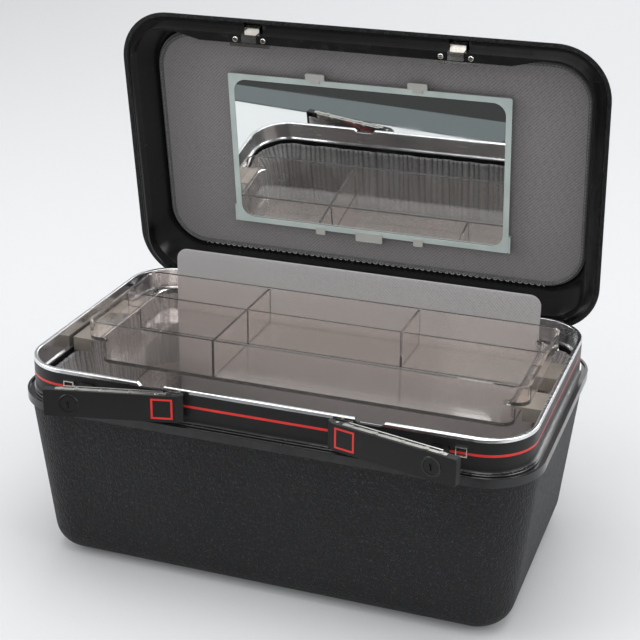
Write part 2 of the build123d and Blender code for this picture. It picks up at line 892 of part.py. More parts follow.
def make_latch_tabs():
    """Rounded keeper tabs beside the staples."""
    z = rim_top - fitting_drop
    block = box(tab_x - tab_span / 2, tab_x + tab_span / 2, front - tab_out, front,
                z - tab_height / 2, z + tab_height / 2)
    block = fillet(block.edges().filter_by(Axis.Y), tab_height * 0.35)
    return both_sides(block)


# ---- handle ----

handle_axis_z = lid_zero + lid_height + handle_seat + handle_section / 2


def make_handle():
    """U-shaped handle lying flat on the lid, with a broad grip between its arms."""
    outer = handle_span / 2 + handle_arm / 2
    inner = handle_span / 2 - handle_arm / 2
    inner_reach = handle_reach - handle_grip
    outline = RectangleRounded(2 * outer, 2 * handle_reach, handle_corner)
    outline -= RectangleRounded(2 * inner, 2 * inner_reach, handle_corner - handle_arm)
    blank = Pos(0, 0, handle_axis_z - handle_section / 2) * extrude(outline, handle_section)
    handle = blank & box(-outer, outer, 0, handle_reach, handle_axis_z - handle_section,
                         handle_axis_z + handle_section)
    rim = handle.edges().filter_by(lambda edge: edge.bounding_box().max.Y > handle_reach - 0.01)
    handle = fillet(rim.group_by(Axis.Z)[0] + rim.group_by(Axis.Z)[-1], handle_section * 0.3)
    for side in (-1, 1):
        start = (side * handle_span / 2 - handle_arm / 2, 0, handle_axis_z)
        handle += bar(handle_section / 2, start, (1, 0, 0), handle_arm)
    return handle - bar(handle_pin + running_gap, (-outer, 0, handle_axis_z), (1, 0, 0), 2 * outer)


def make_handle_brackets():
    """A pair of eared plates on the lid for each end of the handle."""
    top = lid_zero + lid_height
    half = handle_arm / 2 + handle_gap
    brackets = []
    for side in (-1, 1):
        x = side * handle_span / 2
        for end in (-1, 1):
            near = x + end * half
            far = near + end * bracket_ear
            tip = far + end * bracket_foot
            ear = bar(handle_section / 2, (min(near, far), 0, handle_axis_z), (1, 0, 0), bracket_ear)
            ear += box(near, far, -handle_section / 2, handle_section / 2, top, handle_axis_z)
            ear += box(near, tip, -bracket_depth / 2, bracket_depth / 2, top, top + handle_plate)
            ear -= bar(handle_pin, (min(near, far), 0, handle_axis_z), (1, 0, 0), bracket_ear)
            brackets.append(ear)
    return brackets


def make_handle_pins():
    reach = handle_arm / 2 + handle_gap + bracket_ear
    return [bar(handle_pin, (side * handle_span / 2 - reach, 0, handle_axis_z), (1, 0, 0), 2 * reach)
            for side in (-1, 1)]


def main():
    os.makedirs("parts", exist_ok=True)
    save("base_shell", make_base_shell())
    save("bumper_rail", make_bumper_rail())
    save("rail_bead", make_rail_bead())
    save("valance_band", make_band())
    save("pinstripe", make_pinstripe())
    save("rim_trim", make_rim_trim())
    save("lining_bag", make_lining_bag())
    save("floor_pad", make_floor_pad())
    for name in ("front", "back", "left", "right"):
        save(f"gathered_pocket_{name}", make_gathers(name))
    save("back_panel", make_back_panel())
    save("tray", make_tray())
    support = make_tray_support()
    save("tray_support_right", support)
    save("tray_support_left", mirror(support, Plane.YZ))
    save("base_hinge_leaves", make_base_hinge_leaves())
    save("hinge_rivets", make_hinge_rivets())
    save("hinge_pins", make_hinge_pins())
    save("latch_staples", make_staples())
    save("latch_keeper_tabs", make_latch_tabs())

    lid_pieces = {
        "lid_shell": make_lid_shell(), "lid_frame": make_lid_frame(), "lid_lining": make_lid_lining(),
        "lid_piping": make_lid_piping(), "catch_hooks": make_catch_hooks(), "catch_rivets": make_catch_rivets(),
        "catch_backing_plates": make_catch_backings(), "lid_hinge_leaves": make_lid_hinge_leaves(),
        "mirror_glass": make_mirror_glass(), "mirror_border": make_mirror_border(),
        "mirror_backing": make_mirror_backing(), "mirror_top_clips": make_mirror_top_clips(),
        "mirror_foot_clips": make_mirror_foot_clips(), "mirror_tab": make_mirror_tab(),
        "mirror_corner_lips": make_mirror_lips(), "mirror_pivot_ears": make_mirror_ears(),
        "mirror_bumpers": make_mirror_bumpers(), "handle": make_handle(),
        "handle_brackets": make_handle_brackets(), "handle_pins": make_handle_pins(),
    }
    for name, shape in lid_pieces.items():
        save(name, opened(shape))

    latch_pieces = {
        "latch_cover": make_latch_cover(), "latch_square_inlay": make_square_inlay(),
        "latch_lever": make_latch_lever(), "latch_rivets": make_latch_rivets(),
        "lock_ring": make_lock_ring(), "lock_cylinder": make_lock_cylinder(),
    }
    fixed_pieces = {"latch_bracket": make_latch_bracket(), "latch_pin": make_latch_pin()}
    for side, word in ((1, "right"), (-1, "left")):
        for name, shape in latch_pieces.items():
            shapes = shape if isinstance(shape, list) else [shape]
            if side < 0:
                shapes = [mirror(one, Plane.YZ) for one in shapes]
            save(f"{name}_{word}", [swung(one, side) for one in shapes])
        for name, shape in fixed_pieces.items():
            save(f"{name}_{word}", shape if side > 0 else mirror(shape, Plane.YZ))


main()
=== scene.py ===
import bpy
import bmesh
import json
import math
from mathutils import Matrix, Vector, noise


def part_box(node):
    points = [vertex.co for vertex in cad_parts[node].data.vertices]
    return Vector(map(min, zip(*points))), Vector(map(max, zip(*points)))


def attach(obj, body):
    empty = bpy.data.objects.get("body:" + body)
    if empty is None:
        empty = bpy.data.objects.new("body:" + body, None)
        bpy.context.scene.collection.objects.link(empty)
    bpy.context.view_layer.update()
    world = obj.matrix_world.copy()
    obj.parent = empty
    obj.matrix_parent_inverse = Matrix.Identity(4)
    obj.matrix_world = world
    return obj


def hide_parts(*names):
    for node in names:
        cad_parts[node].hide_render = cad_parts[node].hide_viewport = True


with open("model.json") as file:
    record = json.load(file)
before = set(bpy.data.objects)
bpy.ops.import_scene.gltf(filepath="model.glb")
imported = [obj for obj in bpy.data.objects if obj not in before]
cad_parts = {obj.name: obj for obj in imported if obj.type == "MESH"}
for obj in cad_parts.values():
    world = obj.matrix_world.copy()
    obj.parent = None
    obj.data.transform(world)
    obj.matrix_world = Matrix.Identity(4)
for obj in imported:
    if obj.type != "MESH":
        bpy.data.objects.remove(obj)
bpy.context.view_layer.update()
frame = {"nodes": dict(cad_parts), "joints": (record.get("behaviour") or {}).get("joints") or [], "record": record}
nodes = frame["nodes"]
joints = {joint["name"]: joint for joint in frame["joints"]}
mm = 0.001
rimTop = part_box("rim_trim")[1].z
hinge = Vector(joints["lid_hinge"]["pos_m"])
openAngle = math.radians(joints["lid_hinge"]["range_deg"][1])
lidTurn = Matrix.Translation(hinge) @ Matrix.Rotation(-openAngle, 4, "X") @ Matrix.Translation(-hinge)


# a material being wired: its tree, its shader and the object's own coordinates
class Finish:
    def __init__(self, name, colour, rough, metal=0.0, **shader):
        self.material = bpy.data.materials.new(name)
        self.material.use_nodes = True
        self.tree = self.material.node_tree
        self.shader = self.tree.nodes["Principled BSDF"]
        self.shader.inputs["Base Color"].default_value = (*colour, 1)
        self.shader.inputs["Roughness"].default_value = rough
        self.shader.inputs["Metallic"].default_value = metal
        for socket, value in shader.items():
            self.shader.inputs[socket.replace("_", " ")].default_value = value
        self.place = self.node("ShaderNodeTexCoord").outputs["Object"]

    def node(self, kind, **settings):
        made = self.tree.nodes.new(kind)
        for key, value in settings.items():
            setattr(made, key, value)
        return made

    def link(self, start, end):
        self.tree.links.new(start, end)

    def stretch(self, scale, turn=(0, 0, 0)):
        mapping = self.node("ShaderNodeMapping")
        mapping.inputs["Scale"].default_value = scale
        mapping.inputs["Rotation"].default_value = turn
        self.link(self.place, mapping.inputs["Vector"])
        return mapping.outputs["Vector"]

    def noise(self, scale, detail=3.0, rough=0.55, where=None):
        made = self.node("ShaderNodeTexNoise")
        made.inputs["Scale"].default_value = scale
        made.inputs["Detail"].default_value = detail
        made.inputs["Roughness"].default_value = rough
        self.link(where or self.place, made.inputs["Vector"])
        return made.outputs["Fac"]

    def pebbles(self, scale, smooth, where):
        made = self.node("ShaderNodeTexVoronoi", feature="SMOOTH_F1")
        made.inputs["Scale"].default_value = scale
        made.inputs["Smoothness"].default_value = smooth
        self.link(where, made.inputs["Vector"])
        return made.outputs["Distance"]

    def bands(self, scale, axis, where):
        made = self.node("ShaderNodeTexWave", bands_direction=axis)
        made.inputs["Scale"].default_value = scale
        made.inputs["Distortion"].default_value = 1.2
        made.inputs["Detail"].default_value = 2.0
        made.inputs["Detail Scale"].default_value = 1.5
        self.link(where, made.inputs["Vector"])
        return made.outputs["Fac"]

    def maths(self, operation, first, second):
        made = self.node("ShaderNodeMath", operation=operation)
        for socket, value in zip(made.inputs, (first, second)):
            if isinstance(value, (int, float)):
                socket.default_value = value
            else:
                self.link(value, socket)
        return made.outputs[0]

    def ramp(self, value, *stops):
        made = self.node("ShaderNodeValToRGB")
        band = made.color_ramp
        while len(band.elements) < len(stops):
            band.elements.new(0.5)
        for element, (place, colour) in zip(band.elements, stops):
            element.position = place
            element.color = (*colour, 1) if isinstance(colour, tuple) else (colour, colour, colour, 1)
        self.link(value, made.inputs["Fac"])
        return made.outputs["Color"]

    def range(self, value, low, high, fromLow=0.0, fromHigh=1.0):
        made = self.node("ShaderNodeMapRange")
        ends = {"From Min": fromLow, "From Max": fromHigh, "To Min": low, "To Max": high}
        for socket, number in ends.items():
            made.inputs[socket].default_value = number
        self.link(value, made.inputs["Value"])
        return made.outputs["Result"]

    def blend(self, fac, first, second):
        made = self.node("ShaderNodeMix", data_type="RGBA")
        for socket, value in ((made.inputs[0], fac), (made.inputs[6], first), (made.inputs[7], second)):
            if isinstance(value, tuple):
                socket.default_value = (*value, 1)
            else:
                self.link(value, socket)
        return made.outputs[2]

    def colour(self, value):
        self.link(value, self.shader.inputs["Base Color"])

    def rough(self, value):
        self.link(value, self.shader.inputs["Roughness"])

    def bump(self, height, distance, strength=1.0, under=None):
        made = self.node("ShaderNodeBump")
        made.inputs["Strength"].default_value = strength
        made.inputs["Distance"].default_value = distance
        self.link(height, made.inputs["Height"])
        if under is not None:
            self.link(under, made.inputs["Normal"])
        self.link(made.outputs["Normal"], self.shader.inputs["Normal"])
        return made.outputs["Normal"]


def pebbledShell():
    look = {"base": (0.0055, 0.0057, 0.0062), "worn": (0.0095, 0.0098, 0.0104), "glintTone": (0.12, 0.12, 0.124),
            "pebble": 640, "fine": 2100, "slant": (0.5, 0.62, 0.35)}
    made = Finish("pebbledShell", look["base"], 0.5, Specular_IOR_Level=0.2)
    slanted = made.stretch((1.0, 1.0, 0.5), look["slant"])
    pebble = made.pebbles(look["pebble"], 0.4, slanted)
    crease = made.noise(480, 4, 0.6, where=slanted)
    # painted highlights: small light specks in the base colour stand in for glints of light on the pebble grain
    paintedGlints = made.range(made.noise(2000, 1), 0, 1, 0.645, 0.72)
    tone = made.blend(made.range(made.noise(9, 3), 0.0, 0.8, 0.3, 0.8), look["base"], look["worn"])
    made.colour(made.blend(made.maths("MULTIPLY", paintedGlints, 0.75), tone, look["glintTone"]))
    made.rough(made.range(made.noise(240, 2), 0.44, 0.62))
    low = made.bump(made.noise(look["fine"], 2), 0.00008, 0.6)
    mid = made.bump(crease, 0.0006, 0.7, low)
    made.bump(pebble, 0.0007, 0.75, mid)
    return made.material


def glossTrim():
    base, rough, scuff = (0.006, 0.006, 0.0063), 0.15, 0.45
    made = Finish("glossTrim", base, rough)
    wear = made.noise(38, 5, 0.65)
    streak = made.noise(160, 3, where=made.stretch((1, 0.15, 1)))
    worn = made.maths("MULTIPLY", wear, streak)
    made.rough(made.range(worn, rough * 0.75, rough + 0.45 * scuff, 0.12, 0.5))
    scratch = made.range(made.noise(900, 2, where=made.stretch((0.06, 1, 1))), 0, 1, 0.66, 0.74)
    made.colour(made.blend(made.maths("MULTIPLY", scratch, 0.35 * scuff), base, (0.08, 0.08, 0.082)))
    made.bump(made.noise(60, 3), 0.00012, 0.35)
    return made.material


def satinBlack():
    made = Finish("satinBlack", (0.007, 0.007, 0.0073), 0.36, Specular_IOR_Level=0.28)
    dust = made.range(made.noise(1300, 2), 0, 1, 0.66, 0.78)
    made.colour(made.blend(made.maths("MULTIPLY", dust, 0.4), (0.007, 0.007, 0.0073), (0.07, 0.068, 0.065)))
    made.rough(made.range(made.noise(70, 4), 0.3, 0.5))
    made.bump(made.noise(700, 2), 0.00003, 0.5)
    return made.material


def metalFinish(name, tint, rough, grain):
    made = Finish(name, tint, rough, 1.0)
    brush = made.noise(grain, 3, where=made.stretch((0.04, 0.6, 1)))
    smear = made.noise(22, 4)
    made.rough(made.range(made.maths("MULTIPLY", brush, smear), rough * 0.7, rough + 0.22, 0.1, 0.5))
    darker = tuple(value * 0.72 for value in tint)
    made.colour(made.blend(made.range(made.noise(55, 4), 0, 0.6, 0.4, 0.8), tint, darker))
    made.bump(brush, 0.00002, 0.25)
    return made.material


def redLine():
    made = Finish("redLine", (0.47, 0.014, 0.009), 0.3)
    made.colour(made.ramp(made.noise(130, 3), (0.25, (0.40, 0.011, 0.007)), (0.75, (0.52, 0.018, 0.011))))
    made.rough(made.range(made.noise(300, 2), 0.24, 0.42))
    return made.material


def wovenCloth(name, tone, pitch, contrast, turn=0.0, axes=("X", "Y")):
    # crossed threads with a diagonal wale over them and uneven heather streaks
    made = Finish(name, tone, 0.92, Sheen_Weight=0.2, Sheen_Roughness=0.5)
    flatWay = made.stretch((1, 1, 1), (turn, 0, 0))
    density = 0.314 / (pitch * mm)
    warp = made.bands(density, axes[0], flatWay)
    weft = made.bands(density, axes[1], flatWay)
    wale = made.bands(density * 0.62, "DIAGONAL", flatWay)
    heather = made.maths("MULTIPLY", made.noise(1100, 3, 0.7, where=flatWay), 1.1)
    weave = made.maths("MULTIPLY", made.maths("ADD", warp, weft), 0.28)
    slub = made.maths("ADD", made.maths("MULTIPLY", wale, 0.14), made.maths("MULTIPLY", heather, 0.5))
    cross = made.maths("ADD", weave, slub)
    dark = tuple(value * (1 - contrast) for value in tone)
    light = tuple(min(1, value * (1 + contrast)) for value in tone)
    made.colour(made.ramp(cross, (0.30, dark), (0.5, tone), (0.78, light)))
    fuzz = made.bump(made.noise(2600, 2), 0.00006, 0.5)
    made.bump(cross, 0.00035, 0.8, fuzz)
    return made.material


def softCloth(name, tone):
    made = Finish(name, tone, 0.9, Sheen_Weight=0.3, Sheen_Roughness=0.4)
    mottle = made.noise(420, 4, 0.6)
    darker = tuple(value * 0.7 for value in tone)
    lighter = tuple(value * 1.25 for value in tone)
    made.colour(made.ramp(mottle, (0.3, darker), (0.7, lighter)))
    made.bump(made.noise(1500, 3), 0.00012, 0.6)
    return made.material


def ruffleClothSlitShade():
    # painted shade: darker in the slits between the ribs, from the mesh's own rib height
    made = Finish("ruffleClothSlitShade", (0.17, 0.165, 0.165), 0.92, Sheen_Weight=0.2, Sheen_Roughness=0.5)
    rib = made.node("ShaderNodeAttribute")
    rib.attribute_name = "rib"
    tone = made.ramp(rib.outputs["Fac"], (0.10, 0.010), (0.50, 0.075), (1.0, (0.205, 0.197, 0.195)))
    made.colour(made.blend(made.range(made.noise(700, 3), 0.0, 0.5, 0.4, 0.7), tone, (0.05, 0.048, 0.048)))
    made.bump(made.noise(1500, 3), 0.00012, 0.6)
    return made.material


def mouldedBeige():
    made = Finish("mouldedBeige", (0.24, 0.21, 0.175), 0.45)
    made.colour(made.ramp(made.noise(60, 4), (0.3, (0.12, 0.105, 0.09)), (0.75, (0.18, 0.16, 0.135))))
    made.bump(made.noise(800, 2), 0.00003, 0.4)
    return made.material


def smokyClear():
    look = {"tint": (0.975, 0.938, 0.918), "shade": (0.965, 0.94, 0.925)}
    made = Finish("smokyClear", look["tint"], 0.04, 0.0, Transmission_Weight=0.988, IOR=1.46)
    made.rough(made.range(made.noise(45, 4), 0.02, 0.09, 0.4, 0.8))
    made.bump(made.noise(30, 2), 0.0002, 0.2)
    through = made.node("ShaderNodeBsdfTransparent")
    through.inputs["Color"].default_value = (*look["shade"], 1)
    mix = made.node("ShaderNodeMixShader")
    made.link(made.node("ShaderNodeLightPath").outputs["Is Shadow Ray"], mix.inputs[0])
    made.link(made.shader.outputs[0], mix.inputs[1])
    made.link(through.outputs[0], mix.inputs[2])
    made.link(mix.outputs[0], made.tree.nodes["Material Output"].inputs["Surface"])
    return made.material


def silvered():
    made = Finish("silvered", (0.86, 0.885, 0.88), 0.015, 1.0)
    made.rough(made.range(made.noise(28, 4), 0.008, 0.05, 0.45, 0.8))
    return made.material


def borderPaint():
    made = Finish("borderPaint", (0.35, 0.40, 0.385), 0.35)
    made.colour(made.ramp(made.noise(40, 4), (0.3, (0.31, 0.36, 0.345)), (0.7, (0.39, 0.445, 0.425))))
    return made.material


def plainDark(name, tone, rough):
    made = Finish(name, tone, rough)
    made.colour(made.blend(made.range(made.noise(80, 3), 0, 0.5), tone, tuple(v * 1.3 for v in tone)))
    made.bump(made.noise(900, 2), 0.00006, 0.6)
    return made.material


finishes = {
    "charcoal_shell": pebbledShell(),
    "black_trim": glossTrim(),
    "satin_black": satinBlack(),
    "red_stripe": redLine(),
    "bright_alloy": metalFinish("brightAlloy", (0.82, 0.82, 0.83), 0.13, 1200),
    "nickel": metalFinish("nickelPlate", (0.76, 0.74, 0.70), 0.16, 240),
    "grey_lining": softCloth("liningCloth", (0.29, 0.265, 0.26)),
    "grey_board": wovenCloth("panelWeave", (0.205, 0.198, 0.198), 0.8, 0.5, axes=("X", "Z")),
    "beige_plastic": mouldedBeige(),
    "smoky_clear": smokyClear(),
    "mirror_silver": silvered(),
    "mirror_edge": borderPaint(),
    "clip_grey": plainDark("clipGrey", (0.30, 0.30, 0.28), 0.5),
    "dark_board": plainDark("darkBoard", (0.02, 0.02, 0.02), 0.8),
    "grip_black": plainDark("gripBlack", (0.012, 0.012, 0.0125), 0.45),
    "foot_rubber": plainDark("footRubber", (0.012, 0.012, 0.012), 0.7),
}
print("materials ready")


# the camera, floor and lights

def lookFromPhoto():
    view = {"place": (0.31568, -0.87469, 0.40083), "azimuth": 19.5472, "height": 22.458, "roll": 0.5368,
            "lens": 83.0}
    azimuth, height, roll = (math.radians(view[key]) for key in ("azimuth", "height", "roll"))
    side = Vector((math.cos(azimuth), math.sin(azimuth), 0))
    level = math.cos(height)
    back = Vector((math.sin(azimuth) * level, -math.cos(azimuth) * level, math.sin(height)))
    up = back.cross(side)
    across = side * math.cos(roll) + up * math.sin(roll)
    above = up * math.cos(roll) - side * math.sin(roll)
    data = bpy.data.cameras.new("camera")
    data.lens = view["lens"]
    data.sensor_width = 36
    data.clip_end = 50
    camera = bpy.data.objects.new("camera", data)
    turn = Matrix((across, above, back)).transposed().to_4x4()
    place = Vector(view["place"]) + Vector((0, 0, rimTop))
    camera.matrix_world = Matrix.Translation(place) @ turn
    bpy.context.scene.collection.objects.link(camera)
    bpy.context.scene.camera = camera


def addMesh(name, points, faces, material):
    mesh = bpy.data.meshes.new(name)
    mesh.from_pydata(points, [], faces)
    mesh.update()
    made = bpy.data.objects.new(name, mesh)
    bpy.context.scene.collection.objects.link(made)
    mesh.materials.append(material)
    mesh.polygons.foreach_set("use_smooth", [True] * len(mesh.polygons))
    return made


def sweepFloor():
    stage = {"half": 4.0, "front": -3.0, "back": 2.2, "bend": 1.2, "top": 4.0, "steps": 12}
    profile = [(stage["front"], 0.0), (stage["back"], 0.0)]
    for step in range(1, stage["steps"] + 1):
        angle = math.radians(90 * step / stage["steps"])
        forward, rise = stage["bend"] * math.sin(angle), stage["bend"] * (1 - math.cos(angle))
        profile.append((stage["back"] + forward, rise))
    profile.append((stage["back"] + stage["bend"], stage["top"]))
    points = [(side * stage["half"], y, z) for y, z in profile for side in (-1, 1)]
    faces = [(i, i + 1, i + 3, i + 2) for i in range(0, len(points) - 2, 2)]
    paper = Finish("backdropPaper", (0.455, 0.461, 0.468), 0.85)
    floor = addMesh("floor", points, faces, paper.material)


def addLight(name, place, aim, size, power):
    data = bpy.data.lights.new(name, "AREA")
    data.shape = "RECTANGLE"
    data.size, data.size_y = size
    data.energy = power
    light = bpy.data.objects.new(name, data)
    direction = Vector(aim) - Vector(place)
    light.matrix_world = Matrix.Translation(place) @ direction.to_track_quat("-Z", "Y").to_matrix().to_4x4()
    bpy.context.scene.collection.objects.link(light)


def studio():
    middle = (0, 0, 0.15)
    addLight("topSoftbox", (0.0, 0.1, 1.9), middle, (1.8, 1.4), 27)
    addLight("leftSoftbox", (-1.5, -0.7, 1.0), middle, (1.2, 1.2), 13)
    addLight("rightSoftbox", (1.6, -0.2, 0.9), middle, (1.0, 1.2), 10)
    addLight("frontFill", (0.3, -2.2, 0.9), middle, (1.6, 1.0), 12)
    addLight("backWash", (0.2, 2.6, 1.7), (0.0, 1.7, 0.0), (3.2, 0.7), 34)
    world = bpy.data.worlds.new("studio")
    world.use_nodes = True
    world.node_tree.nodes["Background"].inputs["Color"].default_value = (0.98, 0.985, 1.0, 1)
    world.node_tree.nodes["Background"].inputs["Strength"].default_value = 1.0
    bpy.context.scene.world = world
    bpy.context.scene.view_settings.view_transform = "Standard"


def tableEdge():
    # the table's edge and the dark room past it, seen only in reflections
    look = {"near": (-0.3384, 0.113), "far": (-0.3813, 0.083), "end": (-2.4, 0.0), "half": 1.6,
            "height": 0.003, "edgeTone": (0.075, 0.088, 0.09), "roomTone": (0.006, 0.006, 0.006)}
    for name, first, second, tone in (("tableEdge", "near", "far", look["edgeTone"]),
                                      ("darkRoom", "far", "end", look["roomTone"])):
        points = []
        for x in (-look["half"], look["half"]):
            for start, slope in (look[first], look[second]):
                points.append((x, start + slope * x, look["height"]))
        card = addMesh(name, points, [(0, 1, 3, 2)], Finish(name, tone, 1.0).material)
        card.visible_camera = card.visible_diffuse = card.visible_shadow = card.visible_transmission = False


lookFromPhoto()
sweepFloor()
tableEdge()
studio()
print("camera and studio ready")


# carried-over nodes take their finish

slotOf = {entry["node"]: entry["material_slot"] for entry in frame["record"]["subparts"]}
for name, part in nodes.items():
    part.data.materials.clear()
    part.data.materials.append(finishes[slotOf[name]])
print("node finishes ready")


def roundedLoop(halfX, halfY, radius, sideX, sideY, turn):
    # anticlockwise from the front right corner: each point with its outward direction
    loop = []
    corners = ((1, -1, -90, sideY), (1, 1, 0, sideX), (-1, 1, 90, sideY), (-1, -1, 180, sideX))
    for index, (signX, signY, start, side) in enumerate(corners):
        centre = Vector((signX * (halfX - radius), signY * (halfY - radius)))
        for step in range(turn):
            angle = math.radians(start + 90 * step / turn)
            out = Vector((math.cos(angle), math.sin(angle)))
            loop.append((centre + out * radius, out))
        angle = math.radians(start + 90)
        out = Vector((math.cos(angle), math.sin(angle)))
        after = corners[(index + 1) % 4]
        nextCentre = Vector((after[0] * (halfX - radius), after[1] * (halfY - radius)))
        for step in range(side):
            loop.append((centre.lerp(nextCentre, step / side) + out * radius, out))
    return loop


def skin(name, rows, material, closeTop=False, closeEnd=False):
    count = len(rows[0])
    points = [point for row in rows for point in row]
    faces = []
    for start in range(0, (len(rows) - 1) * count, count):
        for column in range(count):
            after = (column + 1) % count
            faces.append((start + column, start + after, start + count + after, start + count + column))
    if closeTop:
        faces.append(tuple(reversed(range(count))))
    if closeEnd:
        faces.append(tuple(range((len(rows) - 1) * count, len(rows) * count)))
    return addMesh(name, points, faces, material)


def thicken(piece, depth, offset):
    solid = piece.modifiers.new("cloth", "SOLIDIFY")
    solid.thickness = depth
    solid.offset = offset


def closedBounds(name):
    turn = lidTurn.inverted() @ nodes[name].matrix_world
    spots = [turn @ vertex.co for vertex in nodes[name].data.vertices]
    return [Vector([pick(spot[axis] for spot in spots) for axis in range(3)]) for pick in (min, max)]


def ease(value, low, high):
    step = min(1.0, max(0.0, (value - low) / (high - low)))
    return step * step * (3 - 2 * step)


ruffle = {"columns": (280, 140, 52), "inset": 0.9 * mm, "least": 0.2 * mm, "topGap": 0.6 * mm,
          "rolled": ((-0.05, -1.6 * mm), (-0.018, -0.5 * mm), (0.0, 0.5 * mm)), "tuck": 0.55,
          "corner": 30.4 * mm, "lean": 5.2 * mm, "rows": 30, "pitch": 4.9 * mm, "rib": 3.3 * mm,
          "fold": 2.8 * mm, "cloth": 0.8 * mm, "wave": 0.9 * mm, "scallop": 1.3 * mm, "puffReach": 0.030,
          "puffs": ((0.150, 0.080, 6.5 * mm), (-0.152, 0.080, 6.0 * mm), (0.152, -0.080, 5.0 * mm),
                    (-0.152, -0.080, 6.0 * mm))}


def gatherRuffle():
    names = ["gathered_pocket_" + side for side in ("front", "back", "left", "right")]
    low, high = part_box("gathered_pocket_right")
    halfX, halfY = high.x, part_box("gathered_pocket_back")[1].y
    loop = roundedLoop(halfX, halfY, ruffle["corner"], *ruffle["columns"])
    along, run = [], 0.0
    for index, (point, _) in enumerate(loop):
        along.append(run)
        run += (loop[(index + 1) % len(loop)][0] - point).length
    ribs = round(run / ruffle["pitch"])
    levels = list(ruffle["rolled"])
    levels += [(step / ruffle["rows"], None) for step in range(1, ruffle["rows"] + 1)]
    rows, slitShade = [], []
    for drop, roll in levels:
        row = []
        depth = max(drop, 0.0)
        for (point, out), place in zip(loop, along):
            turn = 2 * math.pi * place / run
            ring = Vector((math.cos(turn), math.sin(turn), 0)) * (run / 2 / math.pi)
            wander = noise.noise(ring * 60) * 0.9 + noise.noise(ring * 190 + Vector((0, 0, 5))) * 0.35
            rib = abs(math.sin(math.pi * (ribs * place / run + wander))) ** 0.55
            # painted shade: this value, stored as the rib attribute, darkens the cloth's colour in the slits
            # between the ribs
            slitShade.append(1 - (1 - rib) * (0.35 + 0.65 * math.exp(-depth / 0.4)))
            inward = ruffle["inset"] + rib * ruffle["rib"] * (0.22 + 0.78 * math.exp(-depth / 0.26))
            fold = noise.noise(Vector((ring.x * 75, ring.y * 75, depth * 1.6)))
            inward += ruffle["fold"] * (0.45 + fold) * ease(depth, 0.02, 0.35) * (1 - ease(depth, 0.75, 1.0))
            for x, y, size in ruffle["puffs"]:
                near = math.exp(-((point.x - x) ** 2 + (point.y - y) ** 2) / ruffle["puffReach"] ** 2)
                inward += size * near * ease(depth, 0.0, 0.22) * (1 - ease(depth, 0.35, 0.95))
            if roll is not None:
                inward = max(ruffle["least"], inward + roll)
            inward += ruffle["lean"] * depth
            lift = ruffle["wave"] * noise.noise(ring * 120) + ruffle["scallop"] * (rib - 1)
            lift *= 1 - ease(depth, 0.0, 0.3)
            fall = (high.z - low.z) * abs(drop) * (1.0 if drop >= 0 else ruffle["tuck"])
            height = high.z - ruffle["topGap"] - fall + lift
            spot = point - out * inward
            row.append((spot.x, spot.y, height))
        rows.append(row)
    piece = skin("gathered_ruffle", rows, ruffleClothSlitShade())
    piece.data.flip_normals()
    piece.data.attributes.new("rib", "FLOAT", "POINT").data.foreach_set("value", slitShade)
    thicken(piece, ruffle["cloth"], -1)
    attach(piece, "base")
    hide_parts(*names)


def liningBag():
    look = {"cloth": 0.7 * mm, "draft": 6.2, "corner": 30 * mm, "leastCorner": 6 * mm, "turn": 9 * mm,
            "wrinkle": 1.1 * mm, "gap": 0.6 * mm, "floorGap": 0.9 * mm, "wallRows": 26, "turnRows": 6,
            "floorRings": (8, 20, 36, 52, 68), "columns": (110, 60, 14), "cutWidth": 0.55}
    low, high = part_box("lining_bag")
    top, floor = high.z - look["gap"], low.z + look["floorGap"]
    slope = math.tan(math.radians(look["draft"]))
    rows = []
    count, bendCount = look["wallRows"], look["turnRows"]
    walls = [top + (floor + look["turn"] - top) * step / count for step in range(count + 1)]
    bends = [math.radians(90 * step / bendCount) for step in range(1, bendCount + 1)]
    profile = [((top - height) * slope, height) for height in walls]
    foot = profile[-1][0]
    profile += [(foot + look["turn"] * (1 - math.cos(bend)), floor + look["turn"] * (1 - math.sin(bend)))
                for bend in bends]
    profile += [(foot + look["turn"] + extra * mm, floor) for extra in look["floorRings"]]
    for inset, height in profile:
        halfX, halfY = high.x - look["gap"] - inset, high.y - look["gap"] - inset
        corner = max(look["leastCorner"], look["corner"] - inset * 0.4)
        row = []
        for point, out in roundedLoop(halfX, halfY, corner, *look["columns"]):
            crease = noise.noise(Vector((point.x * 34, point.y * 34, height * 26)))
            fade = ease(height, floor, floor + 0.02) * (1 - ease(height, top - 0.006, top))
            spot = point - out * look["wrinkle"] * (0.9 + crease) * fade
            row.append((spot.x, spot.y, height))
        rows.append(row)
    piece = skin("tub_lining", rows[::-1], finishes["grey_lining"], closeTop=True)
    thicken(piece, look["cloth"], -1)
    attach(piece, "base")
    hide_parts("lining_bag")


panelMesh = {"round": (0.06, 0.22, 0.5, 1.0), "ring": 5 * mm, "core": 0.8 * mm, "leastCorner": 0.4 * mm,
             "columns": (72, 40, 12), "calm": 14 * mm}


def clothPanel(name, size, place, material, wave):
    # face up at z = 0 with a rounded edge, then set in place
    halfX, halfY, radius, thick, edge = size
    profile = [(0.0, -thick), (0.0, -edge)]
    profile += [(edge * part, -edge + edge * math.sqrt(1 - (1 - part) ** 2)) for part in panelMesh["round"]]
    reach = min(halfX, halfY) - edge
    steps = int(reach / panelMesh["ring"])
    profile += [(edge + (reach - panelMesh["core"]) * step / steps, 0.0) for step in range(1, steps + 1)]
    rows = []
    for inset, height in profile:
        corner = max(panelMesh["leastCorner"], radius - inset)
        row = []
        for point, _ in roundedLoop(halfX - inset, halfY - inset, corner, *panelMesh["columns"]):
            ripple = noise.noise(Vector((point.x * 16, point.y * 22, 1.7))) * 0.65
            ripple += noise.noise(Vector((point.x * 52, point.y * 52, 9.1))) * 0.35
            row.append((point.x, point.y, height + wave * ripple * ease(inset, 0.0, panelMesh["calm"])))
        rows.append(row)
    piece = skin(name, rows, material, closeTop=True, closeEnd=True)
    piece.data.transform(place)
    return piece


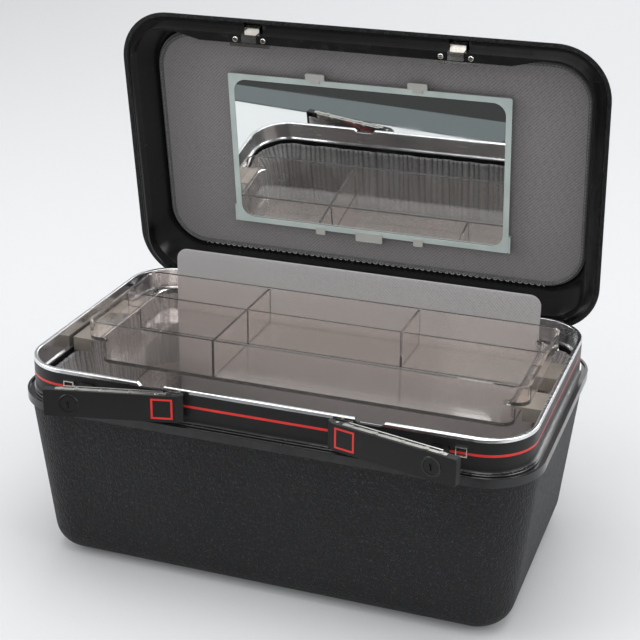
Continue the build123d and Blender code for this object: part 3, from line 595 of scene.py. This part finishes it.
def lidLining():
    low, high = closedBounds("lid_lining")
    middle = (low + high) / 2
    look = {"corner": 27 * mm, "edge": 1.6 * mm, "wave": 0.5 * mm}
    cloth = wovenCloth("lidTwill", (0.125, 0.119, 0.118), 0.8, 0.85, turn=openAngle)
    place = lidTurn @ Matrix.Translation((middle.x, middle.y, low.z)) @ Matrix.Rotation(math.pi, 4, "X")
    size = ((high.x - low.x) / 2, (high.y - low.y) / 2, look["corner"], high.z - low.z, look["edge"])
    piece = clothPanel("lid_lining_cloth", size, place, cloth, look["wave"])
    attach(piece, "lid")
    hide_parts("lid_lining")
    lidBinding()


def backPanel():
    low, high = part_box("back_panel")
    look = {"corner": 8 * mm, "edge": 0.9 * mm, "wave": 0.35 * mm}
    place = Matrix.Translation(((low.x + high.x) / 2, low.y, (low.z + high.z) / 2))
    place = place @ Matrix.Rotation(math.pi / 2, 4, "X")
    size = ((high.x - low.x) / 2, (high.z - low.z) / 2, look["corner"], high.y - low.y, look["edge"])
    piece = clothPanel("back_panel_cloth", size, place, finishes["grey_board"], look["wave"])
    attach(piece, "base")
    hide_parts("back_panel")


def floorPad():
    low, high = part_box("floor_pad")
    look = {"step": 5 * mm, "start": 1.2 * mm, "thin": 0.6 * mm, "cap": 3.2 * mm, "pressure": 4.0,
            "frames": 20}
    spanX, spanY = high.x - low.x - 2 * look["start"], high.y - low.y - 2 * look["start"]
    countX, countY = round(spanX / look["step"]), round(spanY / look["step"])
    shape = bmesh.new()
    grid = {}
    for side, height in ((0, low.z), (1, high.z - look["thin"])):
        for i in range(countX + 1):
            for j in range(countY + 1):
                x, y = spanX * (i / countX - 0.5), spanY * (j / countY - 0.5)
                grid[side, i, j] = shape.verts.new((x, y, height))
    rim = [(i, 0) for i in range(countX)] + [(countX, j) for j in range(countY)]
    rim += [(i, countY) for i in range(countX, 0, -1)] + [(0, j) for j in range(countY, 0, -1)]
    for i in range(countX):
        for j in range(countY):
            corners = [(i, j), (i + 1, j), (i + 1, j + 1), (i, j + 1)]
            shape.faces.new([grid[1, a, b] for a, b in corners])
            shape.faces.new([grid[0, a, b] for a, b in reversed(corners)])
    for (a, b), (c, d) in zip(rim, rim[1:] + rim[:1]):
        shape.faces.new([grid[0, a, b], grid[0, c, d], grid[1, c, d], grid[1, a, b]])
    mesh = bpy.data.meshes.new("floor_cushion")
    shape.to_mesh(mesh)
    shape.free()
    piece = bpy.data.objects.new("floor_cushion", mesh)
    bpy.context.scene.collection.objects.link(piece)
    before = [vertex.co.copy() for vertex in mesh.vertices]
    cloth = piece.modifiers.new("stuffing", "CLOTH")
    cloth.settings.use_pressure = True
    cloth.settings.uniform_pressure_force = look["pressure"]
    cloth.settings.effector_weights.gravity = 0
    for number in range(1, look["frames"] + 1):
        bpy.context.scene.frame_set(number)
    swollen = piece.evaluated_get(bpy.context.evaluated_depsgraph_get()).data
    after = [vertex.co.copy() for vertex in swollen.vertices]
    piece.modifiers.clear()
    bpy.context.scene.frame_set(1)
    for vertex, old, new in zip(mesh.vertices, before, after):
        move = new - old
        if move.length > look["cap"]:
            move *= look["cap"] / move.length
        vertex.co = old + move
        vertex.co.z = max(low.z, vertex.co.z)
    for face in mesh.polygons:
        face.use_smooth = True
    smooth = piece.modifiers.new("smooth", "SUBSURF")
    smooth.levels = smooth.render_levels = 1
    mesh.materials.append(finishes["grey_lining"])
    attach(piece, "base")
    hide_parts("floor_pad")
    print("floor pad ready")


def stitchTree():
    # stitches along a flat line: each one turned to the line and slanted left and right in turn
    tree = bpy.data.node_groups.new("stitchRow", "GeometryNodeTree")
    sockets = {}
    tree.interface.new_socket("Geometry", in_out="INPUT", socket_type="NodeSocketGeometry")
    for name in ("Pitch", "Length", "Radius", "Slant", "Thread"):
        kind = "NodeSocketMaterial" if name == "Thread" else "NodeSocketFloat"
        sockets[name] = tree.interface.new_socket(name, in_out="INPUT", socket_type=kind).identifier
    tree.interface.new_socket("Geometry", in_out="OUTPUT", socket_type="NodeSocketGeometry")

    def add(kind, **settings):
        made = tree.nodes.new(kind)
        for key, value in settings.items():
            setattr(made, key, value)
        return made

    def maths(operation, first, second):
        made = add("ShaderNodeMath", operation=operation)
        for socket, value in zip(made.inputs, (first, second)):
            if isinstance(value, (int, float)):
                socket.default_value = value
            else:
                tree.links.new(value, socket)
        return made.outputs[0]

    source, sink = add("NodeGroupInput"), add("NodeGroupOutput")
    line = add("GeometryNodeMeshToCurve")
    tree.links.new(source.outputs["Geometry"], line.inputs[0])
    even = add("GeometryNodeResampleCurve")
    even.mode = "LENGTH"
    tree.links.new(line.outputs[0], even.inputs["Curve"])
    tree.links.new(source.outputs["Pitch"], even.inputs["Length"])
    tangent = add("ShaderNodeSeparateXYZ")
    tree.links.new(add("GeometryNodeInputTangent").outputs[0], tangent.inputs[0])
    heading = maths("ARCTAN2", tangent.outputs["Y"], tangent.outputs["X"])
    parity = maths("MODULO", add("GeometryNodeInputIndex").outputs[0], 2.0)
    sign = maths("SUBTRACT", maths("MULTIPLY", parity, 2.0), 1.0)
    slant = maths("MULTIPLY", sign, source.outputs["Slant"])
    turn = add("ShaderNodeCombineXYZ")
    tree.links.new(maths("ADD", heading, slant), turn.inputs["Z"])
    bead = add("GeometryNodeMeshIcoSphere")
    bead.inputs["Radius"].default_value = 1.0
    bead.inputs["Subdivisions"].default_value = 2
    size = add("ShaderNodeCombineXYZ")
    tree.links.new(maths("MULTIPLY", source.outputs["Length"], 0.5), size.inputs["X"])
    for axis in "YZ":
        tree.links.new(source.outputs["Radius"], size.inputs[axis])
    spread = add("GeometryNodeInstanceOnPoints")
    tree.links.new(even.outputs[0], spread.inputs["Points"])
    tree.links.new(bead.outputs["Mesh"], spread.inputs["Instance"])
    tree.links.new(turn.outputs[0], spread.inputs["Rotation"])
    tree.links.new(size.outputs[0], spread.inputs["Scale"])
    real = add("GeometryNodeRealizeInstances")
    tree.links.new(spread.outputs[0], real.inputs[0])
    paint = add("GeometryNodeSetMaterial")
    tree.links.new(real.outputs[0], paint.inputs["Geometry"])
    tree.links.new(source.outputs["Thread"], paint.inputs["Material"])
    tree.links.new(paint.outputs[0], sink.inputs[0])
    return tree, sockets


def stitchRow(name, tree, line, closed, values):
    group, sockets = tree
    mesh = bpy.data.meshes.new(name + "Line")
    count = len(line)
    edges = [(i, (i + 1) % count) for i in range(count if closed else count - 1)]
    mesh.from_pydata(line, edges, [])
    guide = bpy.data.objects.new(name + "Line", mesh)
    bpy.context.scene.collection.objects.link(guide)
    rows = guide.modifiers.new("stitches", "NODES")
    rows.node_group = group
    for key, value in values.items():
        rows[sockets[key]] = value
    bpy.context.view_layer.update()
    made = bpy.data.meshes.new_from_object(guide.evaluated_get(bpy.context.evaluated_depsgraph_get()))
    bpy.data.objects.remove(guide)
    piece = bpy.data.objects.new(name, made)
    bpy.context.scene.collection.objects.link(piece)
    made.transform(lidTurn)
    for face in made.polygons:
        face.use_smooth = True
    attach(piece, "lid")
    print(name, len(made.polygons))
    return piece


def lidBinding():
    low, high = closedBounds("lid_piping")
    look = {"corner": 27 * mm, "half": 1.7 * mm, "crown": 1.5 * mm, "pucker": 0.16, "sunk": 0.05 * mm,
            "zigzagIn": 0.6 * mm, "zigzagRise": 0.5 * mm, "zigzagHalf": 40, "columns": (150, 80, 26),
            "lineColumns": (40, 20, 14)}
    small = {"Pitch": 2.6 * mm, "Length": 1.7 * mm, "Radius": 0.24 * mm, "Slant": 0.12}
    bold = {"Pitch": 2.3 * mm, "Length": 3.0 * mm, "Radius": 0.3 * mm, "Slant": 0.75}
    halfX, halfY = (high.x - low.x) / 2 - look["half"], (high.y - low.y) / 2 - look["half"]
    middle = (low + high) / 2
    profile = [(-1.0, 0.0), (-0.96, 0.35), (-0.75, 0.78), (-0.4, 0.97), (0.0, 1.0)]
    profile += [(-across, lift) for across, lift in reversed(profile[:-1])]
    rows = []
    for across, lift in profile:
        row = []
        for point, out in roundedLoop(halfX, halfY, look["corner"], *look["columns"]):
            pucker = 1 + look["pucker"] * noise.noise(Vector((point.x * 260, point.y * 260, 0)))
            spot = point + out * look["half"] * across
            row.append((middle.x + spot.x, middle.y + spot.y, high.z - look["crown"] * lift * pucker))
        rows.append(row)
    cloth = softCloth("bindingTape", (0.075, 0.075, 0.077))
    piece = skin("lid_binding", rows + rows[:1], cloth)
    piece.data.transform(lidTurn)
    small["Thread"] = softCloth("greyThread", (0.20, 0.20, 0.20))
    bold["Thread"] = softCloth("whiteThread", (0.62, 0.61, 0.59))
    tree = stitchTree()
    top = high.z - look["crown"] - look["sunk"]
    around = roundedLoop(halfX, halfY, look["corner"], *look["lineColumns"])
    line = [(middle.x + point.x, middle.y + point.y, top) for point, _ in around]
    edgeStitches = stitchRow("binding_stitches", tree, line, True, small)
    reach = halfX - look["corner"]
    y, z = high.y - look["zigzagIn"], top + look["zigzagRise"]
    half = look["zigzagHalf"]
    line = [(middle.x + reach * (step / half - 1), y, z) for step in range(2 * half + 1)]
    zigzag = stitchRow("zigzag_stitches", tree, line, False, bold)
    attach(piece, "lid")
    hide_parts("lid_piping")
    return [piece, edgeStitches, zigzag]


leverSteel = metalFinish("leverSteel", (0.50, 0.49, 0.46), 0.30, 300)


def latchStrips():
    # the polished lever's top edge with its nuts, along the top of each latch
    look = {"start": 0.060, "end": 0.132, "near": -0.1096, "far": -0.1068, "below": 1.5 * mm,
            "gap": 0.05 * mm, "rise": 0.35 * mm, "waver": 0.7 * mm, "steps": 24, "nut": 1.5 * mm,
            "nutRise": 0.5 * mm, "weld": 0.001 * mm,
            "nuts": ((0.066, 0.9), (0.083, 1.2), (0.102, 0.8), (0.118, 1.3), (0.128, 0.9))}
    for side, word in ((1, "right"), (-1, "left")):
        pivot = Vector(joints["latch_" + word + "_swing"]["pos_m"])
        swing = math.radians(joints["latch_" + word + "_swing"]["range_deg"][1]) * -side
        level = rimTop - look["below"]
        shape = bmesh.new()
        steps = range(look["steps"] + 1)
        along = [look["start"] + (look["end"] - look["start"]) * step / look["steps"] for step in steps]
        edge = [look["far"] + look["waver"] * math.sin(step * 1.7) * math.sin(step * 0.6) for step in steps]
        for x0, x1, y0, y1 in zip(along, along[1:], edge, edge[1:]):
            ring = [shape.verts.new((side * x, y, level + z)) for z in (look["gap"], look["rise"])
                    for x, y in ((x0, look["near"]), (x1, look["near"]), (x1, y1), (x0, y0))]
            for quad in ((0, 3, 2, 1), (4, 5, 6, 7), (0, 1, 5, 4), (2, 3, 7, 6)):
                shape.faces.new([ring[corner] for corner in quad])
        nutY, nutZ = (look["near"] + look["far"]) / 2, level + look["rise"] + look["nutRise"] / 2
        for x, size in look["nuts"]:
            radius = look["nut"] * size
            bmesh.ops.create_cone(shape, cap_ends=True, segments=6, radius1=radius, radius2=radius,
                                  depth=look["nutRise"], matrix=Matrix.Translation((side * x, nutY, nutZ)))
        bmesh.ops.remove_doubles(shape, verts=shape.verts, dist=look["weld"])
        bmesh.ops.recalc_face_normals(shape, faces=shape.faces)
        mesh = bpy.data.meshes.new("latch_strip_" + word)
        shape.to_mesh(mesh)
        shape.free()
        turn = Matrix.Rotation(swing, 4, "Z")
        mesh.transform(Matrix.Translation(pivot) @ turn @ Matrix.Translation(-pivot))
        mesh.materials.append(leverSteel)
        piece = bpy.data.objects.new("latch_strip_" + word, mesh)
        bpy.context.scene.collection.objects.link(piece)
        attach(piece, "latch_" + word)


latchStrips()
gatherRuffle()
liningBag()
lidLining()
backPanel()
floorPad()
print("soft pieces ready")
